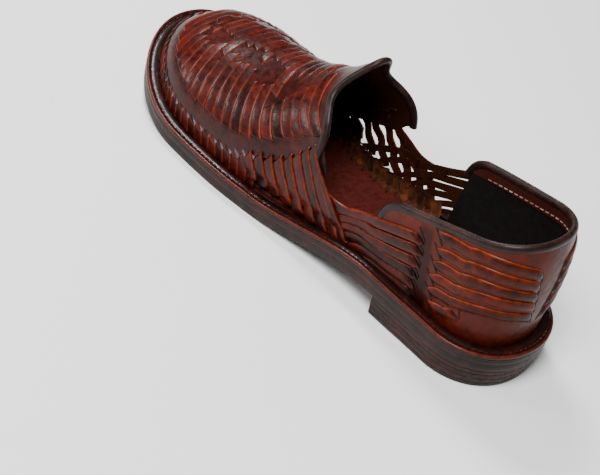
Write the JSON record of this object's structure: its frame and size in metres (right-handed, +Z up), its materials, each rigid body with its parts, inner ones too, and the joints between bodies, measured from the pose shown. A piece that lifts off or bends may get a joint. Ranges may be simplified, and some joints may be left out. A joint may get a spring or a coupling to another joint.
{
  "type": "woven leather huarache shoe",
  "caption": "Left closed-toe huarache shoe: woven leather vamp with a raised tongue, open lattice shanks, straps to a tall heel counter, welted leather sole and low heel.",
  "frame": {"origin": "centre of the bounding box, on the floor that the sole stands on", "axes": "+X towards the toe, +Y towards the wearer's left, the outer side of this left shoe, +Z up"},
  "size_m": [0.296, 0.107, 0.1022],
  "materials": {
    "sole_leather": "stained, burnished edge",
    "welt_leather": "waxed, stitched",
    "heel_leather": "stained, slightly rough",
    "insole_leather": "matte",
    "strap_leather": "hand-antiqued, glossy",
    "counter_leather": "hand-antiqued, glossy",
    "binding_leather": "soft, semi-gloss"
  },
  "bodies": {
    "root": {"outsole": "sole_leather", "midsole": "sole_leather", "welt": "welt_leather", "heel": "heel_leather", "insole": "insole_leather", "upper": "strap_leather", "heel_counter": "counter_leather", "throat_binding": "binding_leather", "collar_binding": "binding_leather"}
  },
  "joints": []
}
